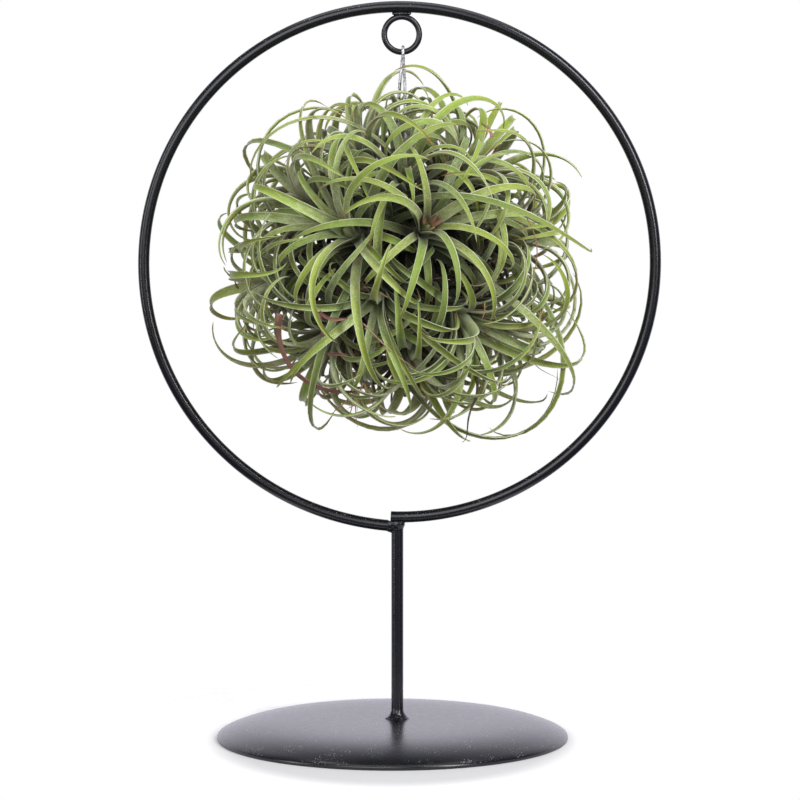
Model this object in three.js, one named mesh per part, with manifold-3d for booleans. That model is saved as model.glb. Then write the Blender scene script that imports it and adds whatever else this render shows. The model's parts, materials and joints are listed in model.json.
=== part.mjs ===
// A ball of curly-leaved air plants that hangs by a wire from the eye of a hoop stand.
// Millimetres, +Z up. The origin is the middle of the base's underside, and the hoop lies in the XZ plane.
import * as THREE from "three";
import { mergeVertices } from "three/addons/utils/BufferGeometryUtils.js";
import Module from "manifold-3d";

const wasm = await Module();
wasm.setup();

const GAP = 0.3; // left between pieces that touch
const MERGE = 1e-3; // points closer than this are one
const DEGREE = Math.PI / 180;

// The stand.
const ROD = 6; // diameter of the hoop's and the stem's steel rod
const HOOP_X = 0.3;
const HOOP_Z = 237; // height of the hoop's middle
const HOOP_R = 126; // to the rod's centre line
const HOOP_SPREAD = 4.4; // how far the hoop's left end springs outwards
const SPREAD_FADE = 50 * DEGREE; // the turn over which that fades away
const HOOP_START = 2.6 * DEGREE; // both ends lie just left of the lowest point
const HOOP_END = 362.2 * DEGREE;
const HOOP_STEPS = 60;
const HOOP_SIDES = 8;
const STEM_X = -1.2;
const BASE_X = -3.6; // the plate's middle
const BASE_R = 87.5;
const BASE_DROP = 7.6; // from the flat middle to the rim
const BASE_ROUNDING = 6; // the power of its fall: the higher, the sharper the shoulder
const BASE_THICK = 2.2;
const BASE_RINGS = [50, 64, 74, 80.5, 84.5];
const BASE_SIDES = 40;
const STEM_SIDES = 12;
const FOOT_R = 6.2; // the weld round the stem's foot
const FOOT_HIGH = 5.6;
const FOOT_BULGE = [[0.72, 0.3], [0.56, 0.7]]; // its hollowed side, as shares of FOOT_R and FOOT_HIGH
const FILLET_R = 4; // the weld round the stem's top
const FILLET_DROPS = [6.5, 3.2, 2]; // from the hoop's centre line: where it starts, is full, and ends
const WELD_SIZE = [4, 3.2, 3.4]; // the lump where the hoop's left end meets the stem: half its size each way
const WELD_X = -3; // from the stem's middle
const WELD_DROP = 4.3; // from the hoop's centre line
const EYE_ROD = 3;
const EYE_R = 8.6; // to the rod's centre line
const EYE_X = 1;
const EYE_SIDES = 7;
const EYE_STEPS = 24;
const EYE_WELD = [8.4, 2.6, 3]; // the fillet between the eye and the hoop
const EYE_WELD_RISE = 1; // its middle above the eye's rod
const WIRE = 1.6;
const WIRE_X = 1.6; // where it hangs on the eye
const WIRE_SIDES = 7;
const WIRE_BEND_STEPS = 6;

// The wire's legs from the clump up to the eye, behind and in front: offsets from WIRE_X, depths and heights.
const BACK_LEG = [
  [-3.4, 1.4, 235],
  [-3.4, 1.4, 260],
  [-2.4, 1.4, 310],
  [-1.4, 1.7, 327],
  [-0.5, 2.2, 335],
];
const FRONT_LEG = [
  [1.5, -1.4, 235],
  [1.5, -1.4, 260],
  [1.1, -1.4, 310],
  [0.8, -1.7, 327],
  [0.3, -2.2, 335],
];

// The plant.
const BALL = new THREE.Vector3(0, 0, 240); // the middle of the clump
const BALL_REACH = 103; // no leaf tip lies further out
const DEPTH_REACH = 86; // nor further forwards or back
const HOOP_ROOM = 13; // left between leaf tips and the hoop's centre line

// Where the ball is flatter, seen from the front: the direction in degrees up from the right, how far its
// reach falls short there, and the degrees to either side over which that fades.
const FLATS = [
  [130, 19, 45],
  [256, 21, 34],
  [354, 19, 22],
];
const CROWN_R = 17; // the woody middle of the clump, which the rosettes sit on
const NECK_R = 4.2; // a rosette's stem where it sits on the crown
const SHEATH_R = 5.4; // and at its thickest, among the leaf bases
const SHEATH_REACH = 27;
const BUD_R = 4.2; // where the heart starts to close
const BUD_LONG = 9;
const SHEATH_SIDES = 6;
const ROSETTE_ROOM = 0.2; // left round a sheath
const CLEAR_OF_HEART = 3; // the bud's tip, which leaves may touch
const WIRE_ROOM = 0.4; // left round the wire
const SEED = 3;

// A leaf. Two numbers are its value on the oldest, outermost leaf and on the youngest.
const LEAVES = 15; // in each rosette, as far as there is room
const GOLDEN_ANGLE = 137.508 * DEGREE; // the turn from one leaf to the next
const TURN_SCATTER = 0.5;
const FIRST_BEND = [72, 12]; // degrees away from the rosette's axis at its root
const FIRST_BEND_SCATTER = 9;
const LEAST_CURL = [230, 50]; // degrees that it curls over its length
const MOST_CURL = [360, 220];
const CURL_POWER = 1.8; // above 1, a leaf curls more towards its tip
const SWERVE = 45; // degrees that it may swing sideways
const DROOP = 40; // degrees that a level leaf sinks sideways under its weight
const TWIST = 50;
const LENGTH = [122, 74];
const LENGTH_SCATTER = [0.85, 1.15];
const SHORTENING = 0.35; // what the last attempt takes off its length
const ROOT_SIDE = [3.2, 0.8]; // its root from the rosette's axis
const ROOT_FROM_HEART = 5;
const LEAF_WIDTH = 6.0;
const NARROWEST = 0.8; // share of that width on the narrowest leaf
const TAPER = [1.9, 0.85]; // the powers of its taper to a point
const LEAF_KEEL = 1.8; // depth of the keel under the blade
const KEEL_WATCH = 0.6; // how far down the keel its room is measured from
const LEAF_ROOM = 0.55; // kept from an edge or a keel, with a share of the width
const WIDTH_ROOM = 0.125;
const LEAF_ATTEMPTS = 220;
const LEAF_STEPS = 48; // steps along its centre line
const FEWEST_SEGMENTS = 3; // facets along a straight leaf
const MOST_SEGMENTS = 7;
const SEGMENT_BEND = 40 * DEGREE; // what each further facet takes of its curl
const FACET_POWER = 0.7; // below 1, facets are shorter towards the tip
const EARLY_SEGMENTS = 2; // near the root, where leaves of one rosette overlap

// Each rosette's heading in degrees, and how far its heart is from the middle of the ball. The heading is a
// turn about +Z from the front (-Y) towards +X, and a rise above level.
const ROSETTES = [
  [53, 47, 58], // upper right
  [-27, 15, 62], // left of the middle
  [-13, -20, 58], // just below the middle
  [15, 18, 58], // above the middle, to the right
  [40, -30, 60], // lower right
  [-80, -10, 66], // far left
  [-64, 28, 60], // left, above
  [-60, 66, 56], // upper left
  [4, 50, 56], // top, in front of the wire
  [82, 10, 62], // far right
  [78, -36, 60], // right, below
  [12, -60, 58], // underneath, in front
  [-52, -42, 60], // lower left
  [110, -70, 56], // underneath, right
  [-110, -50, 58], // underneath, left
  [112, 42, 58], // the back, from its right
  [180, 62, 56],
  [-112, 40, 58],
  [-118, 2, 60],
  [-150, 26, 60],
  [-160, -22, 60],
  [160, -50, 58],
  [128, -12, 60],
  [164, 14, 60],
];

const black = new THREE.MeshStandardMaterial({ color: 0x17181b, roughness: 0.45, metalness: 0.3 });
const steel = new THREE.MeshStandardMaterial({ color: 0xb9bcc0, roughness: 0.35, metalness: 0.9 });
const bark = new THREE.MeshStandardMaterial({ color: 0x4a3d2c, roughness: 0.9, metalness: 0 });
const leafGreen = new THREE.MeshStandardMaterial({ color: 0x84994f, roughness: 0.7, metalness: 0 });

const stand = new THREE.Group();

function solidOf(geometry) {
  const bare = new THREE.BufferGeometry();
  bare.setAttribute("position", geometry.getAttribute("position"));
  bare.setIndex(geometry.getIndex());
  const merged = mergeVertices(bare, MERGE);
  return new wasm.Manifold(new wasm.Mesh({
    numProp: 3,
    vertProperties: merged.attributes.position.array,
    triVerts: new Uint32Array(merged.index.array),
  }));
}

// The largest body of a joined solid: sealed hollows are filled and loose scraps are left off. Merging the
// points that almost meet can seal one more hollow, so it goes on until one body is left.
function wholeOf(solid) {
  let bodies = solid.decompose();
  do {
    const largest = bodies.reduce((kept, body) => (body.volume() > kept.volume() ? body : kept));
    bodies = solidOf(geometryOf(largest)).decompose();
  } while (bodies.length > 1);
  return bodies[0];
}

function geometryOf(solid) {
  const mesh = solid.getMesh();
  const geometry = new THREE.BufferGeometry();
  geometry.setAttribute("position", new THREE.BufferAttribute(new Float32Array(mesh.vertProperties), 3));
  geometry.setIndex(new THREE.BufferAttribute(new Uint32Array(mesh.triVerts), 1));
  geometry.computeVertexNormals();
  return geometry;
}

function addNode(name, geometry, material) {
  const mesh = new THREE.Mesh(geometry, material);
  mesh.name = name;
  stand.add(mesh);
}

// A line through chosen points: an extrusion along it has one section at each of them.
class StationLine extends THREE.Curve {
  constructor(stations) {
    super();
    this.stations = stations;
  }

  getPoint(share) {
    const place = share * (this.stations.length - 1);
    const before = Math.min(Math.floor(place), this.stations.length - 2);
    return this.stations[before].clone().lerp(this.stations[before + 1], place - before);
  }

  getUtoTmapping(share) {
    return share;
  }
}

function tube(line, radius, sides) {
  const section = [];
  for (let k = 0; k < sides; k++) {
    const turn = (2 * Math.PI * k) / sides;
    section.push(new THREE.Vector2(radius * Math.cos(turn), radius * Math.sin(turn)));
  }
  return new THREE.ExtrudeGeometry(new THREE.Shape(section), {
    steps: line.length - 1,
    extrudePath: new StationLine(line),
    bevelEnabled: false,
  });
}

// A turned shape round +Z from its radii and heights.
function turned(profile, sides) {
  const lathe = new THREE.LatheGeometry(profile.map(([r, z]) => new THREE.Vector2(r, z)), sides);
  lathe.rotateX(Math.PI / 2);
  return lathe;
}

// Height of the plate's underside above its rim.
function baseRise(r) {
  return BASE_DROP * (1 - (r / BASE_R) ** BASE_ROUNDING);
}

function makeBase() {
  const profile = [[0, BASE_DROP]];
  BASE_RINGS.forEach((r) => profile.push([r, baseRise(r)]));
  profile[profile.length - 1][1] = 0; // the rim rests on a flat ring
  profile.push([BASE_R, 0], [BASE_R, BASE_THICK]);
  [...BASE_RINGS].reverse().forEach((r) => profile.push([r, baseRise(r) + BASE_THICK]));
  profile.push([0, BASE_DROP + BASE_THICK]);
  const plate = turned(profile, BASE_SIDES);
  plate.translate(BASE_X, 0, 0);
  addNode("base_plate", plate, black);
}

// The hoop's centre line. The turn runs from the lowest point up the left side.
function hoopLine(steps) {
  const line = [];
  for (let i = 0; i <= steps; i++) {
    const turn = HOOP_START + ((HOOP_END - HOOP_START) * i) / steps;
    const r = HOOP_R + HOOP_SPREAD * Math.exp(-(turn - HOOP_START) / SPREAD_FADE);
    line.push(new THREE.Vector3(HOOP_X - r * Math.sin(turn), 0, HOOP_Z - r * Math.cos(turn)));
  }
  return line;
}

// What the stem and the eye are cut to, so that they sit on the hoop's rod.
function hoopSeat() {
  return solidOf(tube(hoopLine(HOOP_STEPS), ROD / 2 + GAP, HOOP_SIDES));
}

function makeHoop() {
  addNode("hoop", tube(hoopLine(HOOP_STEPS), ROD / 2, HOOP_SIDES), black);
}

function makeStem() {
  const foot = BASE_DROP + BASE_THICK;
  const hoopFoot = HOOP_Z - HOOP_R; // the stem runs into the hoop's rod, and is cut to fit it
  const [filletFoot, filletFull, filletTop] = FILLET_DROPS;
  const r = ROD / 2;
  const rod = turned([
    [0, foot],
    [FOOT_R, foot],
    ...FOOT_BULGE.map(([out, up]) => [FOOT_R * out, foot + FOOT_HIGH * up]),
    [r, foot + FOOT_HIGH],
    [r, hoopFoot - filletFoot],
    [FILLET_R, hoopFoot - filletFull],
    [FILLET_R, hoopFoot - filletTop],
    [0, hoopFoot - filletTop],
  ], STEM_SIDES);
  const weld = new THREE.SphereGeometry(1, 10, 6);
  weld.scale(...WELD_SIZE);
  weld.translate(WELD_X, 0, hoopFoot - WELD_DROP);
  const joined = solidOf(rod).add(solidOf(weld)).subtract(hoopSeat().translate(-STEM_X, 0, 0));
  const stem = geometryOf(wholeOf(joined));
  stem.translate(STEM_X, 0, 0);
  addNode("stem", stem, black);
}

function eyeCentre() {
  return new THREE.Vector3(EYE_X, 0, HOOP_Z + HOOP_R - ROD / 2 - GAP - EYE_R - EYE_ROD / 2);
}

function makeEye() {
  const centre = eyeCentre();
  const ring = new THREE.TorusGeometry(EYE_R, EYE_ROD / 2, EYE_SIDES, EYE_STEPS);
  ring.rotateX(Math.PI / 2);
  ring.translate(...centre.toArray());
  const weld = new THREE.BoxGeometry(...EYE_WELD);
  weld.translate(centre.x, 0, centre.z + EYE_R + EYE_WELD_RISE);
  const joined = solidOf(ring).add(solidOf(weld)).subtract(hoopSeat());
  addNode("hanging_eye", geometryOf(wholeOf(joined)), black);
}

// The hairpin of wire: up from the clump behind the eye, over its rod, and down again in front.
function wireLine() {
  const bend = (EYE_ROD + WIRE) / 2 + GAP;
  const saddle = eyeCentre().z - EYE_R; // height of the eye's rod where the wire hangs on it
  const place = ([x, y, z]) => new THREE.Vector3(WIRE_X + x, y, z);
  const line = BACK_LEG.map(place);
  for (let i = 0; i <= WIRE_BEND_STEPS; i++) {
    const turn = (Math.PI * i) / WIRE_BEND_STEPS;
    line.push(place([0, bend * Math.cos(turn), saddle + bend * Math.sin(turn)]));
  }
  return line.concat([...FRONT_LEG].reverse().map(place));
}

// A unit vector from a rosette's heading.
function headingOf([turn, rise]) {
  const flat = Math.cos(rise * DEGREE);
  return new THREE.Vector3(
    flat * Math.sin(turn * DEGREE),
    -flat * Math.cos(turn * DEGREE),
    Math.sin(rise * DEGREE),
  );
}

function heartReach(index) {
  return ROSETTES[index][2];
}

// Carries a shape made round +Z from the middle of the ball to a heading.
function aim(geometry, heading) {
  const turn = new THREE.Quaternion().setFromUnitVectors(new THREE.Vector3(0, 0, 1), heading);
  geometry.applyQuaternion(turn);
  geometry.translate(...BALL.toArray());
  return geometry;
}

function makeCrown() {
  const crown = new THREE.IcosahedronGeometry(CROWN_R, 2);
  crown.translate(...BALL.toArray());
  const holes = solidOf(tube(wireLine(), WIRE / 2 + GAP, WIRE_SIDES));
  addNode("crown", geometryOf(wholeOf(solidOf(crown).subtract(holes))), bark);
}

// A repeatable random number from 0 to 1 for each set of whole numbers.
function draw(...keys) {
  let mixed = SEED;
  for (const key of keys) {
    mixed = Math.imul(mixed ^ (key + 0x9e3779b9), 0x85ebca6b);
    mixed ^= mixed >>> 13;
    mixed = Math.imul(mixed, 0xc2b2ae35);
    mixed ^= mixed >>> 16;
  }
  return (mixed >>> 0) / 4294967296;
}

function between(low, high, share) {
  return low + (high - low) * share;
}

// One attempt at a leaf. Its direction is told by two angles: the bend away from the rosette's axis, and the
// turn about it.
function growLeaf(index, leaf, attempt) {
  const axis = headingOf(ROSETTES[index]);
  const level = new THREE.Vector3(0, 0, 1).cross(axis).normalize();
  const upright = new THREE.Vector3().crossVectors(axis, level);
  const youth = leaf / (LEAVES - 1); // 0 is the oldest and outermost leaf
  const aged = ([oldest, youngest]) => between(oldest, youngest, youth);
  const random = (trait) => draw(index, leaf, attempt, trait);
  const scatter = (trait) => between(-1, 1, random(trait));
  const firstTurn = leaf * GOLDEN_ANGLE + 2 * Math.PI * draw(index) + TURN_SCATTER * scatter(1);
  const firstBend = (aged(FIRST_BEND) + FIRST_BEND_SCATTER * scatter(2)) * DEGREE;
  const bending = between(aged(LEAST_CURL), aged(MOST_CURL), random(3)) * DEGREE;
  const swerve = (SWERVE * scatter(4) - DROOP * Math.cos(firstTurn) * upright.z) * DEGREE;
  const twist = TWIST * scatter(5) * DEGREE;
  const shorter = 1 - (SHORTENING * attempt) / LEAF_ATTEMPTS;
  const length = aged(LENGTH) * between(...LENGTH_SCATTER, random(6)) * shorter;
  const widest = LEAF_WIDTH * between(NARROWEST, 1, random(7));
  const outwardsAt = (turn) => level.clone().multiplyScalar(Math.cos(turn))
    .addScaledVector(upright, Math.sin(turn));
  const root = aged([SHEATH_REACH - 2, heartReach(index) - ROOT_FROM_HEART]);
  const place = BALL.clone().addScaledVector(axis, root);
  place.addScaledVector(outwardsAt(firstTurn), aged(ROOT_SIDE));
  const stations = [];
  for (let step = 0; step <= LEAF_STEPS; step++) {
    const share = step / LEAF_STEPS;
    const turn = firstTurn + swerve * share * share;
    const outwards = outwardsAt(turn);
    const sideways = new THREE.Vector3().crossVectors(axis, outwards);
    const bend = firstBend + bending * share ** CURL_POWER;
    const upperFace = axis.clone().multiplyScalar(Math.sin(bend)).addScaledVector(outwards, -Math.cos(bend));
    const roll = twist * share * share;
    const taper = (1 - share ** TAPER[0]) ** TAPER[1];
    stations.push({
      place: place.clone(),
      side: sideways.clone().multiplyScalar(Math.cos(roll)).addScaledVector(upperFace, Math.sin(roll)),
      face: upperFace.clone().multiplyScalar(Math.cos(roll)).addScaledVector(sideways, -Math.sin(roll)),
      width: widest * taper,
      most: LEAF_WIDTH * taper,
    });
    const middle = (step + 0.5) / LEAF_STEPS;
    const nextTurn = firstTurn + swerve * middle * middle;
    const nextBend = firstBend + bending * middle ** CURL_POWER;
    place.addScaledVector(axis, (length / LEAF_STEPS) * Math.cos(nextBend));
    place.addScaledVector(outwardsAt(nextTurn), (length / LEAF_STEPS) * Math.sin(nextBend));
  }
  const segments = Math.min(MOST_SEGMENTS, FEWEST_SEGMENTS + Math.floor(bending / SEGMENT_BEND));
  const stepAt = (i) => Math.round(LEAF_STEPS * (i / segments) ** FACET_POWER);
  return Array.from({ length: segments + 1 }, (_, i) => stations[stepAt(i)]);
}

// The shortest distance between two straight stretches, each with its ends a and b.
function apart(p, q) {
  const dot = (u, v) => u[0] * v[0] + u[1] * v[1] + u[2] * v[2];
  const clamp = (x) => Math.min(1, Math.max(0, x));
  const along = [p.bx - p.ax, p.by - p.ay, p.bz - p.az];
  const other = [q.bx - q.ax, q.by - q.ay, q.bz - q.az];
  const across = [p.ax - q.ax, p.ay - q.ay, p.az - q.az];
  const alongLength = dot(along, along);
  const otherLength = dot(other, other);
  const slant = dot(along, other);
  const alongAcross = dot(along, across);
  const otherAcross = dot(other, across);
  const spread = alongLength * otherLength - slant * slant;
  const first = spread > 1e-9 ? clamp((slant * otherAcross - alongAcross * otherLength) / spread) : 0;
  const onOther = clamp((slant * first + otherAcross) / otherLength);
  const onAlong = clamp((slant * onOther - alongAcross) / alongLength);
  const gap = across.map((value, k) => value + along[k] * onAlong - other[k] * onOther);
  return Math.sqrt(dot(gap, gap));
}

// A straight stretch that others keep `room` from. Early ones of the same owner may overlap.
function stretch(a, b, room, owner = -1, early = false) {
  return {
    ax: a.x, ay: a.y, az: a.z, bx: b.x, by: b.y, bz: b.z,
    mx: (a.x + b.x) / 2, my: (a.y + b.y) / 2, mz: (a.z + b.z) / 2,
    half: a.distanceTo(b) / 2, room, owner, early,
  };
}

// A leaf's two edges and its keel as stretches, at the widest that a leaf can be.
function stretchesOf(stations, owner) {
  const made = [];
  for (let i = 0; i + 1 < stations.length; i++) {
    const [from, to] = [stations[i], stations[i + 1]];
    for (const across of [-0.5, 0, 0.5]) {
      const a = from.place.clone().addScaledVector(from.side, across * from.most);
      const b = to.place.clone().addScaledVector(to.side, across * to.most);
      if (across === 0) {
        a.addScaledVector(from.face, -LEAF_KEEL * KEEL_WATCH);
        b.addScaledVector(to.face, -LEAF_KEEL * KEEL_WATCH);
      }
      made.push(stretch(a, b, LEAF_ROOM + WIDTH_ROOM * from.most, owner, i < EARLY_SEGMENTS));
    }
  }
  return made;
}

// How far the ball falls short of its reach in the direction of a place.
function flatnessAt(place) {
  const turn = Math.atan2(place.z - BALL.z, place.x - BALL.x) / DEGREE;
  return FLATS.reduce((most, [towards, depth, fade]) => {
    const off = Math.abs(((turn - towards + 540) % 360) - 180); // degrees, whichever way round is shorter
    return Math.max(most, depth * (1 - (off / fade) ** 2));
  }, 0);
}

function inBounds(stations) {
  return stations.every(({ place }) => {
    const fromMiddle = Math.hypot(place.x - HOOP_X, place.z - HOOP_Z);
    const seenFromFront = Math.hypot(place.x - BALL.x, place.z - BALL.z);
    return Math.abs(place.y) < DEPTH_REACH && place.distanceTo(BALL) < BALL_REACH
      && fromMiddle < HOOP_R - HOOP_ROOM && seenFromFront < BALL_REACH - flatnessAt(place);
  });
}

function isClear(made, placed, owner) {
  for (const p of made) {
    for (const q of placed) {
      if (q.owner === owner && (p.early || q.early)) continue;
      const room = p.room + q.room;
      const reach = p.half + q.half + room;
      const dx = p.mx - q.mx;
      const dy = p.my - q.my;
      const dz = p.mz - q.mz;
      if (dx * dx + dy * dy + dz * dz < reach * reach && apart(p, q) < room) return false;
    }
  }
  return true;
}

// Finds a clear bend for each leaf in turn, so that no leaf passes through another rosette's.
function growAll() {
  const placed = [];
  const wire = wireLine();
  for (let i = 0; i + 1 < wire.length; i++) {
    placed.push(stretch(wire[i], wire[i + 1], WIRE / 2 + WIRE_ROOM));
  }
  const eyeFoot = eyeCentre().setZ(eyeCentre().z - EYE_R);
  const beside = new THREE.Vector3(EYE_R, 0, 0);
  placed.push(stretch(eyeFoot.clone().sub(beside), eyeFoot.clone().add(beside), EYE_ROD + 1));
  placed.push(stretch(BALL.clone().setZ(BALL.z - 1), BALL.clone().setZ(BALL.z + 1), CROWN_R));
  ROSETTES.forEach((rosette, index) => {
    const axis = headingOf(rosette);
    const at = (reach) => BALL.clone().addScaledVector(axis, reach);
    const bud = at(heartReach(index) - CLEAR_OF_HEART);
    placed.push(stretch(at(CROWN_R), bud, SHEATH_R + ROSETTE_ROOM, index, true));
  });
  const leaves = ROSETTES.map(() => []);
  for (let leaf = LEAVES - 1; leaf >= 0; leaf--) {
    ROSETTES.forEach((_, index) => {
      for (let attempt = 0; attempt < LEAF_ATTEMPTS; attempt++) {
        const stations = growLeaf(index, leaf, attempt);
        if (!inBounds(stations)) continue;
        const made = stretchesOf(stations, index);
        if (!isClear(made, placed, index)) continue;
        placed.push(...made);
        leaves[index].push(stations);
        break;
      }
    });
  }
  return leaves;
}

// A closed blade: two edges and a keel at each station, drawn out to a point.
function bladeOf(stations) {
  const positions = [];
  const faces = [];
  const last = stations.length - 1;
  stations.slice(0, last).forEach(({ place, side, face, width }) => {
    positions.push(...place.clone().addScaledVector(side, width / 2).toArray());
    positions.push(...place.clone().addScaledVector(side, -width / 2).toArray());
    positions.push(...place.clone().addScaledVector(face, -LEAF_KEEL).toArray());
  });
  positions.push(...stations[last].place.toArray());
  faces.push(0, 2, 1);
  for (let i = 0; i < last; i++) {
    for (let k = 0; k < 3; k++) {
      const a = 3 * i + k;
      const b = 3 * i + ((k + 1) % 3);
      if (i === last - 1) faces.push(a, b, 3 * last);
      else faces.push(a, b, a + 3, b, b + 3, a + 3);
    }
  }
  const geometry = new THREE.BufferGeometry();
  geometry.setAttribute("position", new THREE.Float32BufferAttribute(positions, 3));
  geometry.setIndex(faces);
  return geometry;
}

function makeRosettes() {
  growAll().forEach((leaves, index) => {
    const heart = heartReach(index);
    const stem = turned([
      [0, CROWN_R + GAP],
      [NECK_R, CROWN_R + GAP],
      [SHEATH_R, SHEATH_REACH],
      [BUD_R, heart - BUD_LONG],
      [0, heart],
    ], SHEATH_SIDES);
    let rosette = solidOf(aim(stem, headingOf(ROSETTES[index])));
    leaves.forEach((stations) => {
      rosette = rosette.add(solidOf(bladeOf(stations)));
    });
    addNode("rosette_" + String(index + 1).padStart(2, "0"), geometryOf(wholeOf(rosette)), leafGreen);
  });
}

makeBase();
makeStem();
makeHoop();
makeEye();
addNode("hanger_wire", tube(wireLine(), WIRE / 2, WIRE_SIDES), steel);
makeCrown();
makeRosettes();

export default stand;
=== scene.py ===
import json
import math

import bmesh
import bpy
import numpy as np
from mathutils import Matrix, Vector, noise


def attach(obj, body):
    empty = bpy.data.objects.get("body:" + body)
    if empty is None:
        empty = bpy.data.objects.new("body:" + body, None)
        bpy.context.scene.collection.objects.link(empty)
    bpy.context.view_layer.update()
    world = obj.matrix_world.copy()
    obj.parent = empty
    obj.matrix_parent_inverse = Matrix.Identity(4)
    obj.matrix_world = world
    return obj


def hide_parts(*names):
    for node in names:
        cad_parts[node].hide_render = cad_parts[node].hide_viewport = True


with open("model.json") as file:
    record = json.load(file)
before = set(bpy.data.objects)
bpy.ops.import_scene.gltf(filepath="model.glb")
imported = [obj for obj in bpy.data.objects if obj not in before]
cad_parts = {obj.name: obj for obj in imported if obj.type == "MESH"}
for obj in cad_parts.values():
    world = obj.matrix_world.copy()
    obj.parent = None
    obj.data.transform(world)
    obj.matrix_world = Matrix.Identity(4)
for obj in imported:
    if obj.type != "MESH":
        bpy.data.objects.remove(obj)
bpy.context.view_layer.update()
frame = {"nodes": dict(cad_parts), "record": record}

MM = 0.001
DEGREE = math.pi / 180
UP = np.array([0.0, 0.0, 1.0])

# The stand, as the solids have it.
ROD = 6.0  # diameter of the hoop's and the stem's steel rod
HOOP_X = 0.3
HOOP_Z = 237.0  # height of the hoop's middle
HOOP_R = 126.0  # to the rod's centre line
HOOP_SPREAD = 4.4  # how far the hoop's left end springs outwards
SPREAD_FADE = 50 * DEGREE  # the turn over which that fades away
HOOP_START = 2.6 * DEGREE  # both ends lie just left of the lowest point
HOOP_END = 362.2 * DEGREE
STEM_X = -1.2
BASE_X = -3.6  # the plate's middle
BASE_R = 87.5
BASE_DROP = 7.6  # from the flat middle to the rim
BASE_ROUNDING = 6  # the power of its fall: the higher, the sharper the shoulder
BASE_THICK = 2.2
FOOT_R = 6.2  # the weld round the stem's foot
FOOT_HIGH = 5.6
EYE_ROD = 3.0
EYE_R = 8.6  # to the rod's centre line
EYE_X = 1.0
GAP = 0.3  # left between pieces that touch
WIRE = 1.6
WIRE_X = 1.6  # where it hangs on the eye
WIRE_BEND_STEPS = 6
# The wire's legs from the clump up to the eye, behind and in front: offsets from WIRE_X, depths and heights.
BACK_LEG = [(-3.4, 1.4, 235), (-3.4, 1.4, 260), (-2.4, 1.4, 310), (-1.4, 1.7, 327), (-0.5, 2.2, 335)]
FRONT_LEG = [(1.5, -1.4, 235), (1.5, -1.4, 260), (1.1, -1.4, 310), (0.8, -1.7, 327), (0.3, -2.2, 335)]

# The plant, by the same rule as the solids.
BALL = np.array([0.0, 0.0, 240.0])  # the middle of the clump
BALL_REACH = 103.0
DEPTH_REACH = 86.0
HOOP_ROOM = 13.0  # left between leaves and the hoop's centre line
# Where the ball is flatter, seen from the front: the direction in degrees up from the right, how far its
# reach falls short there, and the degrees to either side over which that fades.
FLATS = ((130, 19, 45), (256, 21, 34), (354, 19, 22))
CROWN_R = 17.0  # the woody middle of the clump
NECK_R = 4.2  # a rosette's stem where it sits on the crown
SHEATH_R = 5.4  # and at its thickest, among the leaf bases
SHEATH_REACH = 27.0
BUD_R = 4.2  # where the heart starts to close
BUD_LONG = 9.0
SEED = 3

# A leaf. Two numbers are its value on the oldest, outermost leaf and on the youngest.
LEAVES = 15  # in each rosette, as far as the solid has room
GOLDEN_ANGLE = 137.508 * DEGREE  # the turn from one leaf to the next
TURN_SCATTER = 0.5
FIRST_BEND = (72, 12)  # degrees away from the rosette's axis at its root
FIRST_BEND_SCATTER = 9
LEAST_CURL = (230, 50)  # degrees that it curls over its length
MOST_CURL = (360, 220)
CURL_POWER = 1.8  # above 1, a leaf curls more towards its tip
SWERVE = 45  # degrees that it may swing sideways
DROOP = 40  # degrees that a level leaf sinks sideways under its weight
TWIST = 50
LENGTH = (122, 74)
LENGTH_SCATTER = (0.85, 1.15)
SHORTENING = 0.35  # what the last attempt takes off its length
ROOT_SIDE = (3.2, 0.8)  # its root from the rosette's axis
ROOT_FROM_HEART = 5
LEAF_WIDTH = 6.0
NARROWEST = 0.8  # share of that width on the narrowest leaf
TAPER = (1.9, 0.85)  # the powers of its taper to a point
ATTEMPTS = 220
STEPS = 48  # along its centre line

# Each rosette's heading in degrees, a turn about +Z from the front towards +X and a rise above level, and
# how far its heart is from the middle of the ball.
ROSETTES = [
    (53, 47, 58), (-27, 15, 62), (-13, -20, 58), (15, 18, 58),
    (40, -30, 60), (-80, -10, 66), (-64, 28, 60), (-60, 66, 56),
    (4, 50, 56), (82, 10, 62), (78, -36, 60), (12, -60, 58),
    (-52, -42, 60), (110, -70, 56), (-110, -50, 58), (112, 42, 58),
    (180, 62, 56), (-112, 40, 58), (-118, 2, 60), (-150, 26, 60),
    (-160, -22, 60), (160, -50, 58), (128, -12, 60), (164, 14, 60),
]


# Materials.

def rgb(red, green, blue):
    """A linear colour from 8-bit sRGB values."""
    shares = [value / 255 for value in (red, green, blue)]
    return tuple(v / 12.92 if v <= 0.04045 else ((v + 0.055) / 1.055) ** 2.4 for v in shares) + (1.0,)


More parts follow.
